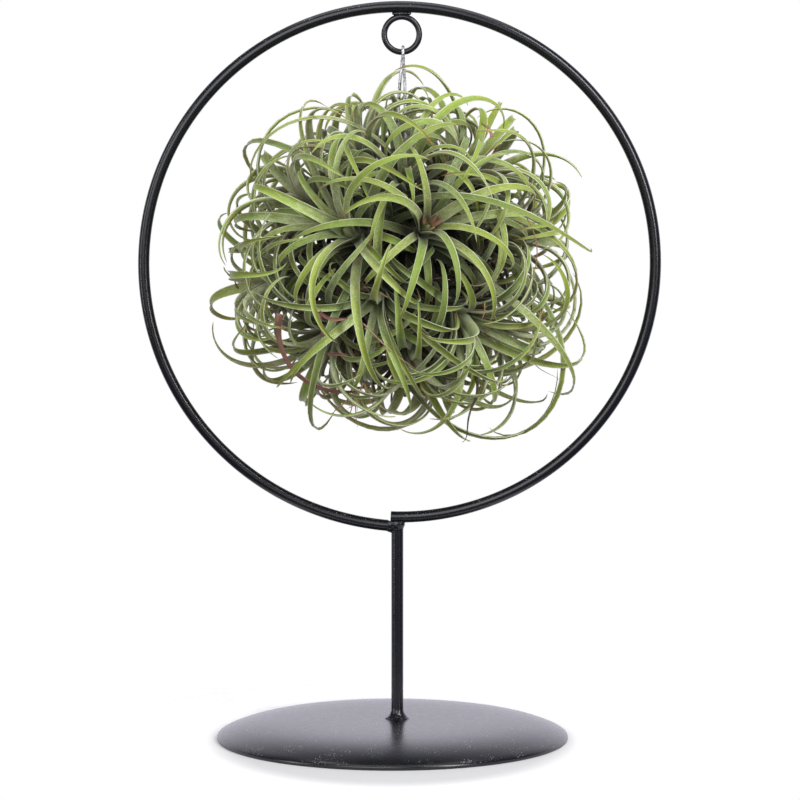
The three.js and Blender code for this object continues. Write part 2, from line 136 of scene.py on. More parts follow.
class Shader:
    """The nodes of a material or of the world, with short names for the kinds used here."""

    def __init__(self, name, kind="materials", main="Principled BSDF"):
        self.owner = getattr(bpy.data, kind).new(name)
        self.owner.use_nodes = True
        self.tree = self.owner.node_tree
        self.main = self.tree.nodes[main]

    def node(self, kind, settings=(), **inputs):
        """A new node. Its inputs are given by name, or by number as i0, i1 and so on."""
        made = self.tree.nodes.new(kind)
        for key, value in dict(settings).items():
            setattr(made, key, value)
        for key, value in inputs.items():
            numbered = key[0] == "i" and key[1:].isdigit()
            self.put(made.inputs[int(key[1:]) if numbered else key], value)
        return made

    def put(self, socket, value):
        if isinstance(value, bpy.types.NodeSocket):
            self.tree.links.new(value, socket)
        else:
            socket.default_value = value

    def mark(self, name):
        """A number that the mesh holds for each point."""
        return self.node("ShaderNodeAttribute", {"attribute_name": name}).outputs["Fac"]

    def math(self, operation, a, b=0.0):
        return self.node("ShaderNodeMath", {"operation": operation}, i0=a, i1=b).outputs[0]

    def plus(self, a, b):
        return self.math("ADD", a, b)

    def minus(self, a, b):
        return self.math("SUBTRACT", a, b)

    def times(self, a, b):
        return self.math("MULTIPLY", a, b)

    def ramp(self, value, low, high):
        """0 at low, 1 at high, smooth between."""
        smooth = {"interpolation_type": "SMOOTHSTEP"}
        return self.node("ShaderNodeMapRange", smooth, i0=value, i1=low, i2=high).outputs[0]

    def mix(self, share, a, b):
        return self.node("ShaderNodeMix", {"data_type": "RGBA"}, i0=share, i6=a, i7=b).outputs[2]

    def spot(self):
        return self.node("ShaderNodeTexCoord").outputs["Object"]

    def noise(self, size, detail=2.0, roughness=0.5, vector=None):
        """Noise from 0 to 1, with patches about size millimetres across, or about 1 on a given vector."""
        place = vector or self.spot()
        scale = 1 if vector else 1 / (size * MM)
        made = self.node("ShaderNodeTexNoise", Vector=place, Scale=scale, Detail=detail, Roughness=roughness)
        return made.outputs["Fac"]

    def bump(self, height, depth, strength=1.0):
        """depth is in millimetres."""
        return self.node("ShaderNodeBump", Height=height, Distance=depth * MM, Strength=strength).outputs[0]

    def finish(self, **inputs):
        for key, value in inputs.items():
            self.put(self.main.inputs[key.replace("_", " ")], value)
        return self.owner


def powder_coat():
    """Black satin powder coat: a fine orange peel, soft changes in sheen and a little pale dust."""
    s = Shader("black_powder_coat")
    dust = s.ramp(s.noise(0.5, 1.0), 0.69, 0.73)
    sparse = s.ramp(s.noise(9.0, 2.0), 0.48, 0.60)
    normal = s.node("ShaderNodeNewGeometry").outputs["Normal"]
    facing_up = s.node("ShaderNodeSeparateXYZ", Vector=normal).outputs[2]
    dust = s.times(s.times(dust, sparse), s.ramp(facing_up, 0.2, 0.6))
    cloud = s.noise(24.0, 3.0)
    black = s.mix(cloud, rgb(12, 13, 19), rgb(19, 20, 28))
    rough = s.plus(s.times(s.noise(3.0, 3.0), 0.08), 0.22)
    rough = s.plus(rough, s.times(dust, 0.3))
    peel = s.plus(s.times(s.noise(0.6, 1.0), 0.5), s.noise(1.8, 1.0))
    return s.finish(
        Base_Color=s.mix(dust, black, rgb(206, 206, 208)), Roughness=rough,
        Metallic=0.0, Specular_IOR_Level=0.6, Normal=s.bump(peel, 0.015, 0.25),
    )


def galvanised():
    """Zinc-coated wire: bright, with dark mottling where the zinc is spangled or scraped."""
    s = Shader("galvanised_wire")
    mottle = s.ramp(s.noise(1.3, 3.0, 0.65), 0.50, 0.60)
    fine = s.noise(0.35, 2.0)
    zinc = s.mix(fine, rgb(226, 227, 229), rgb(190, 192, 195))
    return s.finish(
        Base_Color=s.mix(mottle, zinc, rgb(84, 85, 88)), Roughness=s.plus(s.times(mottle, 0.25), 0.28),
        Metallic=0.6, Normal=s.bump(s.plus(fine, mottle), 0.04, 0.6),
    )


def bark():
    """The woody middle and its roots: dark brown, fibrous, with grey scurf."""
    s = Shader("bark")
    fibre = s.noise(1.2, 6.0, 0.7)
    patch = s.noise(6.0, 3.0)
    brown = s.mix(fibre, rgb(38, 32, 22), rgb(92, 78, 54))
    return s.finish(
        Base_Color=s.mix(s.ramp(patch, 0.55, 0.75), brown, rgb(112, 110, 92)),
        Roughness=0.9,
        Normal=s.bump(fibre, 0.5, 0.8),
    )


def dry_straw():
    """Dead leaves and old flower stalks: tan, paler and redder in patches."""
    s = Shader("dry_straw")
    patch = s.noise(4.0, 3.0)
    tan = s.mix(patch, rgb(122, 92, 66), rgb(186, 158, 122))
    red = s.mix(s.noise(2.5, 2.0), rgb(122, 80, 68), rgb(170, 128, 114))
    colour = s.mix(s.ramp(s.mark("chance"), 0.66, 0.72), tan, red)
    colour = s.mix(s.ramp(s.mark("along"), 0.8, 1.0), colour, rgb(94, 70, 52))
    return s.finish(Base_Color=colour, Roughness=0.75, Normal=s.bump(s.noise(0.8, 4.0), 0.15, 0.7))


def leaf():
    """A living leaf: green, frosted with silvery scales, most of them near its base and underneath."""
    s = Shader("leaf")
    along = s.mark("along")
    across = s.mark("across")
    under = s.mark("under")
    youth = s.mark("youth")
    chance = s.mark("chance")
    reach = s.mark("reach")
    # The leaf laid out flat, drawn out lengthwise, and apart from every other leaf.
    flat = s.node(
        "ShaderNodeCombineXYZ", X=s.times(across, 2.2), Y=s.times(reach, 0.22), Z=s.times(chance, 91.0),
    )
    streaks = s.noise(1.0, 3.0, 0.6, flat.outputs[0])
    patch = s.noise(14.0, 2.0)

    old = s.mix(patch, rgb(97, 119, 48), rgb(119, 141, 59))
    young = s.mix(patch, rgb(130, 157, 50), rgb(154, 177, 66))
    green = s.mix(s.ramp(youth, 0.0, 1.0), old, young)
    other = s.math("FRACT", s.times(chance, 7.31))
    green = s.mix(s.times(s.ramp(other, 0.45, 1.0), 0.55), green, rgb(154, 164, 66))
    green = s.mix(s.times(s.ramp(other, 0.55, 0.0), 0.5), green, rgb(112, 128, 82))
    yellow = s.times(s.ramp(along, 0.45, 1.0), s.ramp(chance, -0.3, 1.3))
    green = s.mix(yellow, green, rgb(156, 170, 74))
    # Painted shade: the middle of the upper face's channel is darkened towards a dark green.
    channel_shade = s.minus(1.0, s.ramp(s.math("ABSOLUTE", across), 0.0, 0.8))
    channel_shade = s.times(channel_shade, s.minus(1.0, under))
    green = s.mix(s.times(channel_shade, 0.25), green, rgb(84, 104, 44))
    ribs = s.math("SINE", s.times(across, 19.0))
    green = s.mix(s.times(s.ramp(ribs, 0.0, 1.0), 0.14), green, rgb(70, 88, 44))

    # The scales.
    grain = s.noise(0.45, 2.0, 0.7)
    low = s.minus(1.0, s.ramp(along, 0.05, 0.8))
    cover = s.plus(s.times(low, 0.38), s.times(under, 0.18))
    cover = s.plus(cover, s.times(s.minus(streaks, 0.5), 0.8))
    cover = s.plus(cover, s.times(s.minus(grain, 0.5), 1.4))
    frosty = s.math("FRACT", s.times(chance, 13.7))
    cover = s.plus(cover, s.times(s.minus(frosty, 0.5), 0.3))
    scales = s.times(s.ramp(cover, 0.05, 0.85), 0.8)
    edge = s.ramp(s.math("ABSOLUTE", across), 0.74, 0.93)
    edge = s.times(edge, s.ramp(grain, 0.3, 0.5))
    scales = s.math("MAXIMUM", scales, s.times(edge, 0.9))
    colour = s.mix(scales, green, rgb(217, 219, 192))

    # Some tips have dried, and a few leaves are browning.
    brown = s.mix(s.noise(2.0, 2.0), rgb(150, 112, 66), rgb(112, 78, 48))
    tip = s.plus(along, s.times(s.ramp(chance, 0.35, 1.0), 0.10))
    colour = s.mix(s.times(s.ramp(tip, 0.965, 1.03), 0.85), colour, brown)
    # Painted shade: deep in the clump, leaves and sheaths are darkened towards a near-black green, where the
    # leaves round them would shade them.
    deep_shade = s.minus(1.0, s.ramp(s.mark("depth"), 46.0, 88.0))
    colour = s.mix(s.times(deep_shade, 0.92), colour, rgb(30, 36, 20))

    height = s.plus(s.times(grain, 0.7), s.times(streaks, 0.6))
    rough = s.plus(s.times(scales, 0.25), 0.46)
    return s.finish(
        Base_Color=colour, Roughness=rough, Specular_IOR_Level=0.35, Normal=s.bump(height, 0.12, 0.55),
        Sheen_Weight=0.12, Sheen_Roughness=0.5, Subsurface_Weight=0.12, Subsurface_Scale=0.002,
    )


def bud():
    """Bracts of flower buds in a few hearts: straw at the base, dull pink above."""
    s = Shader("bud")
    flecks = s.noise(0.9, 3.0)
    pink = s.mix(flecks, rgb(168, 108, 102), rgb(206, 162, 144))
    colour = s.mix(s.ramp(s.mark("along"), 0.1, 0.6), rgb(150, 132, 90), pink)
    return s.finish(Base_Color=colour, Roughness=0.6, Normal=s.bump(flecks, 0.15, 0.6))


BLACK = powder_coat()
ZINC = galvanised()
BARK = bark()
STRAW = dry_straw()
LEAF = leaf()
BUD = bud()


# Meshes.

def add_object(name, data):
    made = bpy.data.objects.new(name, data)
    bpy.context.scene.collection.objects.link(made)
    return made


def add_mesh(name, points, faces, material):
    """An object with one mesh, from points in millimetres."""
    mesh = bpy.data.meshes.new(name)
    mesh.from_pydata((np.asarray(points) * MM).tolist(), [], faces)
    mesh.materials.append(material)
    return add_object(name, mesh)


def add_piece(name, points, faces, material, stands_for=(), marks=None):
    """A piece of the part. marks maps an attribute's name to a value for each point."""
    piece = add_mesh(name, points, faces, material)
    piece.data.shade_smooth()
    for mark, values in (marks or {}).items():
        layer = piece.data.attributes.new(mark, "FLOAT", "POINT")
        layer.data.foreach_set("value", np.asarray(values, dtype=np.float32))
    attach(piece, "root")
    if stands_for:
        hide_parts(*stands_for)


def grid_faces(rows, columns, first=0):
    """Quads between rows of points, each row a closed ring."""
    faces = []
    for i in range(rows - 1):
        for k in range(columns):
            a = first + i * columns + k
            b = first + i * columns + (k + 1) % columns
            faces.append((a, b, b + columns, a + columns))
    return faces


def cap_faces(rows, columns):
    last = (rows - 1) * columns
    return [tuple(range(columns - 1, -1, -1)), tuple(range(last, last + columns))]


def unit(vectors):
    return vectors / np.linalg.norm(vectors, axis=-1, keepdims=True)


def turns_round(count):
    """Evenly spaced turns, once round."""
    return 2 * np.pi * np.arange(count) / count


def turned(profile, sides):
    """Points and faces of a shape turned round Z. Its radii and heights start and end on the axis."""
    rings = profile[1:-1]
    turns = turns_round(sides)
    points = [(0.0, 0.0, profile[0][1])]
    points += [(r * math.cos(turn), r * math.sin(turn), z) for r, z in rings for turn in turns]
    points.append((0.0, 0.0, profile[-1][1]))
    faces = grid_faces(len(rings), sides, 1)
    last = len(points) - 1
    ring = last - sides
    for k in range(sides):
        n = (k + 1) % sides
        faces += [(0, 1 + n, 1 + k), (last, ring + k, ring + n)]
    return np.array(points), faces


def tube(line, radii, sides, hint):
    """Points and faces of a round bar along a line that never runs the way hint points."""
    line = np.asarray(line, dtype=float)
    along = unit(np.gradient(line, axis=0))
    u = unit(np.cross(hint, along))
    v = np.cross(along, u)
    turns = turns_round(sides)[None, :, None]
    radii = np.asarray(radii)[:, None, None]
    rings = line[:, None] + radii * np.cos(turns) * u[:, None] + radii * np.sin(turns) * v[:, None]
    faces = grid_faces(len(line), sides) + cap_faces(len(line), sides)
    return rings.reshape(-1, 3), faces


# The rule that the leaves grow by.

AT_EACH_STEP = ("place", "side", "face", "width")  # what a leaf has at each step of its centre line
WORD = np.uint64(0xFFFFFFFF)
CHANCE_KEY = 7  # of each leaf's own random number
HELD_BACK_KEY = 8  # and of the one for how far it is held back
TIP_MATCH = 0.05  # how near its leaf's tip a solid's corner is


def draw(*keys):
    """A repeatable random number from 0 to 1 for each set of whole numbers."""
    mixed = np.uint64(SEED)
    for key in keys:
        key = np.asarray(key, dtype=np.uint64)
        mixed = ((mixed ^ ((key + np.uint64(0x9E3779B9)) & WORD)) * np.uint64(0x85EBCA6B)) & WORD
        mixed = mixed ^ (mixed >> np.uint64(13))
        mixed = (mixed * np.uint64(0xC2B2AE35)) & WORD
        mixed = mixed ^ (mixed >> np.uint64(16))
    return mixed.astype(float) / 2 ** 32


def between(low, high, share):
    return low + (high - low) * share


def aimed(turn, rise):
    """The unit vector of a heading, given in degrees."""
    turn, rise = turn * DEGREE, rise * DEGREE
    flat = math.cos(rise)
    return np.array([flat * math.sin(turn), -flat * math.cos(turn), math.sin(rise)])


def axes_of(index):
    """A rosette's axis and two directions across it, the first of them level."""
    axis = aimed(*ROSETTES[index][:2])
    level = unit(np.cross(UP, axis))
    return axis, level, np.cross(axis, level)


def outwards(level, upright, turn):
    """The directions away from an axis at each turn about it."""
    return np.cos(turn)[..., None] * level + np.sin(turn)[..., None] * upright


def grow(index, leaf, youth, longer=1.0, curl=1.0):
    """All attempts at a leaf: its place at each step, the way its side and face point, and its width."""
    axis, level, upright = axes_of(index)
    attempt = np.arange(ATTEMPTS)
    traits = [draw(index, leaf, attempt, trait) for trait in range(8)]
    first_turn = leaf * GOLDEN_ANGLE + 2 * math.pi * draw(index)
    first_turn = first_turn + between(-TURN_SCATTER, TURN_SCATTER, traits[1])
    first_bend = between(*FIRST_BEND, youth) + between(-FIRST_BEND_SCATTER, FIRST_BEND_SCATTER, traits[2])
    first_bend = first_bend * DEGREE
    bending = curl * between(between(*LEAST_CURL, youth), between(*MOST_CURL, youth), traits[3]) * DEGREE
    swerve = (between(-SWERVE, SWERVE, traits[4]) - DROOP * np.cos(first_turn) * upright[2]) * DEGREE
    twist = between(-TWIST, TWIST, traits[5]) * DEGREE
    shorter = 1 - SHORTENING * attempt / ATTEMPTS
    length = between(*LENGTH, youth) * between(*LENGTH_SCATTER, traits[6]) * shorter * longer
    widest = LEAF_WIDTH * between(NARROWEST, 1, traits[7])[:, None]
    root = between(SHEATH_REACH - 2, ROSETTES[index][2] - ROOT_FROM_HEART, youth)
    start = BALL + axis * root + outwards(level, upright, first_turn) * between(*ROOT_SIDE, youth)

    def turn_and_bend(share):
        turn = first_turn[:, None] + swerve[:, None] * share ** 2
        return turn, first_bend[:, None] + bending[:, None] * share ** CURL_POWER

    turn, bend = turn_and_bend((np.arange(STEPS) + 0.5) / STEPS)
    step = np.cos(bend)[..., None] * axis + np.sin(bend)[..., None] * outwards(level, upright, turn)
    step *= (length / STEPS)[:, None, None]
    places = np.concatenate([start[:, None], start[:, None] + np.cumsum(step, axis=1)], axis=1)
    share = np.arange(STEPS + 1) / STEPS
    turn, bend = turn_and_bend(share)
    out = outwards(level, upright, turn)
    sideways = np.cross(axis, out)
    upper = np.sin(bend)[..., None] * axis - np.cos(bend)[..., None] * out
    roll = (twist[:, None] * share ** 2)[..., None]
    return {
        "place": places,
        "side": np.cos(roll) * sideways + np.sin(roll) * upper,
        "face": np.cos(roll) * upper - np.sin(roll) * sideways,
        "width": widest * (1 - share ** TAPER[0]) ** TAPER[1],
        "length": length,
    }


def leaf_of(grown, attempt, index, leaf, youth):
    """One attempt, with the leaf's age and a random number of its own."""
    made = {key: values[attempt] for key, values in grown.items()}
    made["youth"] = youth
    made["chance"] = float(draw(index, leaf, CHANCE_KEY))
    return made


def main_leaves(index):
    """The leaves that the rosette's solid has. A leaf's attempt is the one whose tip is a corner there."""
    node = frame["nodes"][rosette_name(index)]
    corners = np.empty(len(node.data.vertices) * 3, dtype=np.float32)
    node.data.vertices.foreach_get("co", corners)
    corners = corners.reshape(-1, 3) / MM
    leaves = []
    for leaf in range(LEAVES):
        youth = leaf / (LEAVES - 1)
        grown = grow(index, leaf, youth)
        tips = grown["place"][:, -1]
        away = np.linalg.norm(tips[:, None] - corners[None], axis=2).min(axis=1)
        if away.min() < TIP_MATCH:
            leaves.append(leaf_of(grown, int(away.argmin()), index, leaf, youth))
    return leaves


def rosette_name(index):
    return f"rosette_{index + 1:02d}"


def flatness_at(places):
    """How far the ball falls short of its reach in the direction of each place, seen from the front."""
    turn = np.arctan2(places[..., 2] - BALL[2], places[..., 0] - BALL[0]) / DEGREE
    most = np.zeros(turn.shape)
    for towards, depth, fade in FLATS:
        off = np.abs((turn - towards + 540) % 360 - 180)
        most = np.maximum(most, depth * (1 - (off / fade) ** 2))
    return most


def standing_out(places):
    """How far each centre line comes out of the ball's outline, seen from the front."""
    from_front = np.hypot(places[..., 0] - BALL[0], places[..., 2] - BALL[2])
    return (from_front - BALL_REACH + flatness_at(places)).max(axis=-1)


def in_bounds(places, held_back):
    """Whether each centre line stays clear of the hoop and in a ball that reaches less far by held_back."""
    from_middle = np.hypot(places[..., 0] - HOOP_X, places[..., 2] - HOOP_Z)
    inside = np.abs(places[..., 1]) < DEPTH_REACH - max(held_back, 0)
    inside &= np.linalg.norm(places - BALL, axis=-1) < BALL_REACH - held_back
    inside &= from_middle < HOOP_R - HOOP_ROOM - max(held_back, 0)
    return inside.all(axis=-1) & (standing_out(places) < -held_back)


# Room among the leaves, as a grid of cells.

CELL = 1.5
CELLS = 150  # each way
ROOM_LOW = BALL - 112.0
BLADE_ACROSS = (-0.5, -0.25, 0.0, 0.25, 0.5)  # where a blade takes room, as shares of its width
BLADE_LIFTS = (-1.4, -0.5, 0.6)  # and from under it to over it
taken = np.zeros((CELLS,) * 3, dtype=bool)


def cells(points):
    index = ((points - ROOM_LOW) / CELL).astype(int)
    return tuple(np.clip(index, 0, CELLS - 1)[..., k] for k in range(3))


def take(points):
    taken[cells(points)] = True


def blade_samples(place, side, face, width, across, lift=0.0):
    """Points on a blade, or on many at once."""
    offsets = np.asarray(across)[:, None] * side[..., None, :] * width[..., None, None]
    return place[..., None, :] + offsets + lift * face[..., None, :]


def take_leaf(leaf):
    for lift in BLADE_LIFTS:
        samples = blade_samples(*[leaf[key] for key in AT_EACH_STEP], BLADE_ACROSS, lift)
        take(samples)
        take((samples[1:] + samples[:-1]) / 2)


def take_box(low, high):
    spans = [slice(first, last + 1) for first, last in zip(cells(low), cells(high))]
    taken[tuple(spans)] = True


def take_ball(centre, radius):
    middles = (np.indices(taken.shape).transpose(1, 2, 3, 0) + 0.5) * CELL + ROOM_LOW
    taken[np.linalg.norm(middles - centre, axis=3) < radius] = True


# Leaves that only this script has, where the solids' leaves leave room.

FILLERS = 26  # tried for in each rosette
FILLER_CROSSING = 0.02  # the share of one that may lie where there are others
FILLER_WIDTH = (0.92, 0.78)
FILLER_ACROSS = (-0.45, -0.15, 0.15, 0.45)
HELD_BACK = (7.0, 24.0)  # how much less far one reaches, at least and at most
THIN_FROM = 15  # the rosettes from this one on are at the back, and have half as many
FREE_FROM = 15  # steps from the root over which leaves may touch
STRAYS = 2  # long, loose old leaves of each other rosette, which stand out of the ball
STRAY_YOUTH = 0.3
STRAY_LONGER = 1.3
STRAY_CURL = 0.75
STRAY_REACH = 9.0  # how far one may stand out
STRAY_LEAST = 3.0
STRAY_CROSSING = 0.05
EYE_ROOM = 22.0  # that strays keep from the middle of the hanging eye


def filler_leaf(index, leaf, youth, stray=False):
    """One more leaf where there is room, or None."""
    grown = grow(index, leaf, youth, STRAY_LONGER, STRAY_CURL) if stray else grow(index, leaf, youth)
    grown["width"] = grown["width"] * between(*FILLER_WIDTH, youth)
    outer = [grown[key][:, FREE_FROM:] for key in AT_EACH_STEP]
    crossing = taken[cells(blade_samples(*outer, FILLER_ACROSS))].mean(axis=(1, 2))
    if stray:
        fits = (crossing < STRAY_CROSSING) & in_bounds(grown["place"], -STRAY_REACH)
        fits &= standing_out(grown["place"]) > STRAY_LEAST
        fits &= np.linalg.norm(grown["place"] - eye_centre(), axis=2).min(axis=1) > EYE_ROOM
    else:
        held_back = between(*HELD_BACK, float(draw(index, leaf, HELD_BACK_KEY)))
        fits = (crossing < FILLER_CROSSING) & in_bounds(grown["place"], held_back)
    if not fits.any():
        return None
    return leaf_of(grown, int(fits.argmax()), index, leaf, youth)


def add_filler(leaves, made):
    if made:
        leaves.append(made)
        take_leaf(made)


def fill(rosettes):
    """Adds the leaves that the solids have too few facets for."""
    for round_ in range(STRAYS):
        youth = STRAY_YOUTH * round_ / STRAYS
        for index in range(THIN_FROM):
            add_filler(rosettes[index], filler_leaf(index, LEAVES + FILLERS + round_, youth, True))
    for round_ in range(FILLERS):
        youth = 1.0 - (round_ + 0.5) / FILLERS
        for index, leaves in enumerate(rosettes):
            if index < THIN_FROM or round_ % 2 == 0:
                add_filler(leaves, filler_leaf(index, LEAVES + round_, youth))


# Blades.

MAIN_SECTION = (-1.0, -0.82, -0.42, 0.0, 0.42, 0.82, 1.0)  # points across, from edge to edge
FILLER_SECTION = (-1.0, -0.78, 0.0, 0.78, 1.0)
EDGE_WAVE = 0.035  # how far a blade's width varies along it
EDGE_WAVES = (9, 17)
CLASP_LONG = 0.16  # the share of its length that broadens to its root
CLASP_BROADER = 0.42
FOLD = (0.85, 1.3)  # half the angle of its channel, at its root and its tip
CLASP_FOLD = 0.7
BLADE_THICK = (0.78, 0.38)  # in the middle and at its edges


def depth_of(points):
    """How far points are from the middle of the ball, which is shallower from front to back."""
    return np.linalg.norm((points - BALL) * (1.0, BALL_REACH / DEPTH_REACH, 1.0), axis=1)


def blade(leaf, every, across):
    """Points, faces and marks of a leaf: a channelled strap, drawn to a point and broad where it clasps."""
    keep = np.arange(0, STEPS + 1, every)
    share = keep / STEPS
    place, side, face, width = (leaf[key][keep] for key in AT_EACH_STEP)
    chance = leaf["chance"]
    clasp = np.clip(1 - share / CLASP_LONG, 0, 1) ** 1.5
    width = width * (1 + EDGE_WAVE * np.sin(share * between(*EDGE_WAVES, chance) + 40 * chance))
    width = width * (1 + CLASP_BROADER * clasp)
    fold = between(between(*FOLD, share), CLASP_FOLD, clasp)

    upper = np.asarray(across)
    lower = upper[-2:0:-1]
    section = np.concatenate([upper, lower])
    is_lower = np.concatenate([np.zeros(len(upper)), np.ones(len(lower))])
    radius = (width / 2 / np.sin(fold))[:, None]
    angle = section[None] * fold[:, None]
    out = radius * np.sin(angle)
    sunk = radius * (np.cos(fold)[:, None] - np.cos(angle))
    thick = between(*BLADE_THICK, np.abs(section)) * is_lower
    thick = thick[None] * np.clip(width / LEAF_WIDTH, 0.4, 1.1)[:, None]
    rings = place[:, None] + out[..., None] * side[:, None] + (sunk - thick)[..., None] * face[:, None]
    rings = rings[:-1]
    rows, columns = rings.shape[:2]
    points = np.concatenate([rings.reshape(-1, 3), leaf["place"][-1:]])
    tip = rows * columns
    faces = grid_faces(rows, columns)
    faces.append(tuple(range(columns - 1, -1, -1)))
    faces += [(tip - columns + k, tip - columns + (k + 1) % columns, tip) for k in range(columns)]

    def spread(values):
        return np.append(np.repeat(values[:-1], columns), values[-1])

    marks = {
        "along": spread(share),
        "reach": spread(share * leaf["length"]),
        "across": np.append(np.tile(section, rows), 0.0),
        "under": np.append(np.tile(is_lower, rows), 0.0),
        "youth": np.full(tip + 1, leaf["youth"]),
        "chance": np.full(tip + 1, chance),
        "depth": depth_of(points),
    }
    return points, faces, marks


def joined(parts):
    """Many shapes as one: each is points, faces and, where there are any, marks."""
    points, faces, marks, first = [], [], {}, 0
    for part in parts:
        points.append(part[0])
        faces += [tuple(first + k for k in face) for face in part[1]]
        first += len(part[0])
        if len(part) > 2:
            for key, values in part[2].items():
                marks.setdefault(key, []).append(values)
    return np.concatenate(points), faces, {key: np.concatenate(values) for key, values in marks.items()}


def sheath(index):
    """The rosette's stem under its leaf bases, from the crown to the heart."""
    heart = ROSETTES[index][2]
    profile = [
        (0, CROWN_R - 1.5),
        (NECK_R, CROWN_R - 1.5),
        (NECK_R + 0.5, (CROWN_R + SHEATH_REACH) / 2),
        (SHEATH_R - 0.2, SHEATH_REACH),
        ((SHEATH_R + BUD_R) / 2, (SHEATH_REACH + heart - BUD_LONG) / 2),
        (BUD_R - 0.6, heart - BUD_LONG - 2),
        (BUD_R * 0.55, heart - BUD_LONG * 0.55),
        (BUD_R * 0.2, heart - BUD_LONG * 0.2),
        (0, heart - 1),
    ]
    points, faces = turned(profile, 14)
    axis, level, upright = axes_of(index)
    height = points[:, 2]
    around = np.arctan2(points[:, 1], points[:, 0])
    placed = BALL + points[:, :1] * level + points[:, 1:2] * upright + points[:, 2:] * axis
    count = len(placed)
    marks = {
        "along": np.clip((height - heart + 22) / 60, 0, 1),
        "reach": height,
        "across": np.sin(around * 3) * 0.6,
        "under": np.ones(count),
        "youth": np.full(count, 0.6),
        "chance": np.full(count, float(draw(index, 99))),
        "depth": depth_of(placed),
    }
    return placed, faces, marks


# The rosettes in full growth, and how much brighter they are.
FRESH = {1: 0.55, 8: 0.3, 4: 0.35, 0: 0.15, 3: 0.15}
YOUTH_SHARE = 0.75  # how much of a leaf's youth shows in its colour


def make_rosettes():
    """The solids' leaves in fine, with the fillers and strays in what room they leave."""
    rosettes = [main_leaves(index) for index in range(len(ROSETTES))]
    counts = [len(leaves) for leaves in rosettes]
    for leaves in rosettes:
        for leaf in leaves:
            take_leaf(leaf)
    take_ball(BALL, CROWN_R)
    for opening in frame["record"]["physics"]["openings"]:
        take_box(*np.array(opening["box_m"]) / MM)
    wire = wire_line()
    for a, b in zip(wire, wire[1:]):
        take(a + (b - a) * np.linspace(0, 1, 40)[:, None])
    fill(rosettes)
    for index, leaves in enumerate(rosettes):
        parts = [sheath(index)]
        for k, leaf in enumerate(leaves):
            main = k < counts[index]
            parts.append(blade(leaf, 1 if main else 2, MAIN_SECTION if main else FILLER_SECTION))
        points, faces, marks = joined(parts)
        marks["youth"] = marks["youth"] * YOUTH_SHARE + FRESH.get(index, 0.0)
        name = rosette_name(index)
        add_piece(f"{name}_leaves", points, faces, LEAF, [name], marks)


# The stand.

ROUND_LOSS = 0.17  # off the hoop's radius, so that it stays in the box of its solid, which has flat sides
WORN = 0.35  # how far the edges of its cut ends are rounded off
HALF_WORN = 0.12
HOOP_STEPS = 300
STEM_SIDES = 56
WELD_RINGS = 0.25  # between the stem's rings at its welds
ROD_RINGS = 4.0
FOOT_HOLLOW = 2.4  # the power by which the foot's weld flares
FILLET = 0.9
WELD_X = -3.0  # the lump where the hoop's left end meets the stem, from the stem's middle
WELD_DROP = 4.3
WELD_HALF = (4.1, 3.1, 3.5)
WELD_ROUGH = 0.42
EYE_STEPS = 96
EYE_SIDES = 20
EYE_SLACK = 0.01  # by which the eye's rod stays inside its solid's
# The lumps of its weld: their place beside and above the top of the ring, and half their size each way.
EYE_WELDS = ((-2.3, 1.5, (2.5, 1.5, 1.1)), (2.2, 1.5, (2.6, 1.45, 1.0)), (0, 1.6, (3.0, 1.3, 1.2)))
DISH_RADII = [0.5, 15, 30, 42, 52, 60, 66, 71, 75, 78, 80.5, 82.5, 84]
# The plate's rim, from the ring that it stands on round its edge, as radii and heights.
RIM = [(85, 0.25), (85.3, 0.0), (87.0, 0.0), (87.35, 0.12), (BASE_R, 0.45)]
RIM += [(BASE_R, 1.35), (87.38, 1.8), (87.1, 2.15), (86.6, 2.5)]
RIM_TOP = 85.9  # where its rolled upper edge meets the pressed shoulder
BASE_SIDES = 160


def hoop_points(turns):
    r = HOOP_R + HOOP_SPREAD * np.exp(-(turns - HOOP_START) / SPREAD_FADE)
    return np.stack([HOOP_X - r * np.sin(turns), 0 * turns, HOOP_Z - r * np.cos(turns)], axis=-1)


def make_hoop():
    worn = WORN / HOOP_R
    end = np.array([0, 0.3, 1]) * worn
    between_ends = np.linspace(HOOP_START + 2 * worn, HOOP_END - 2 * worn, HOOP_STEPS)
    turns = np.concatenate([HOOP_START + end, between_ends, HOOP_END - end[::-1]])
    radii = np.full(len(turns), ROD / 2 - ROUND_LOSS)
    radii[[0, -1]] -= WORN
    radii[[1, -2]] -= HALF_WORN
    points, faces = tube(hoop_points(turns), radii, 28, (0.0, 1.0, 0.0))
    add_piece("hoop_rod", points, faces, BLACK, ["hoop"])


def smooth(share):
    share = np.clip(share, 0, 1)
    return share * share * (3 - 2 * share)


def lumps(points, size, seed):
    """Noise from -1 to 1 at each point, with lumps about size millimetres across."""
    shift = Vector((seed * 17.3, seed * 5.1, seed * 9.7))
    return np.array([noise.noise(Vector(p) / size + shift) for p in points])


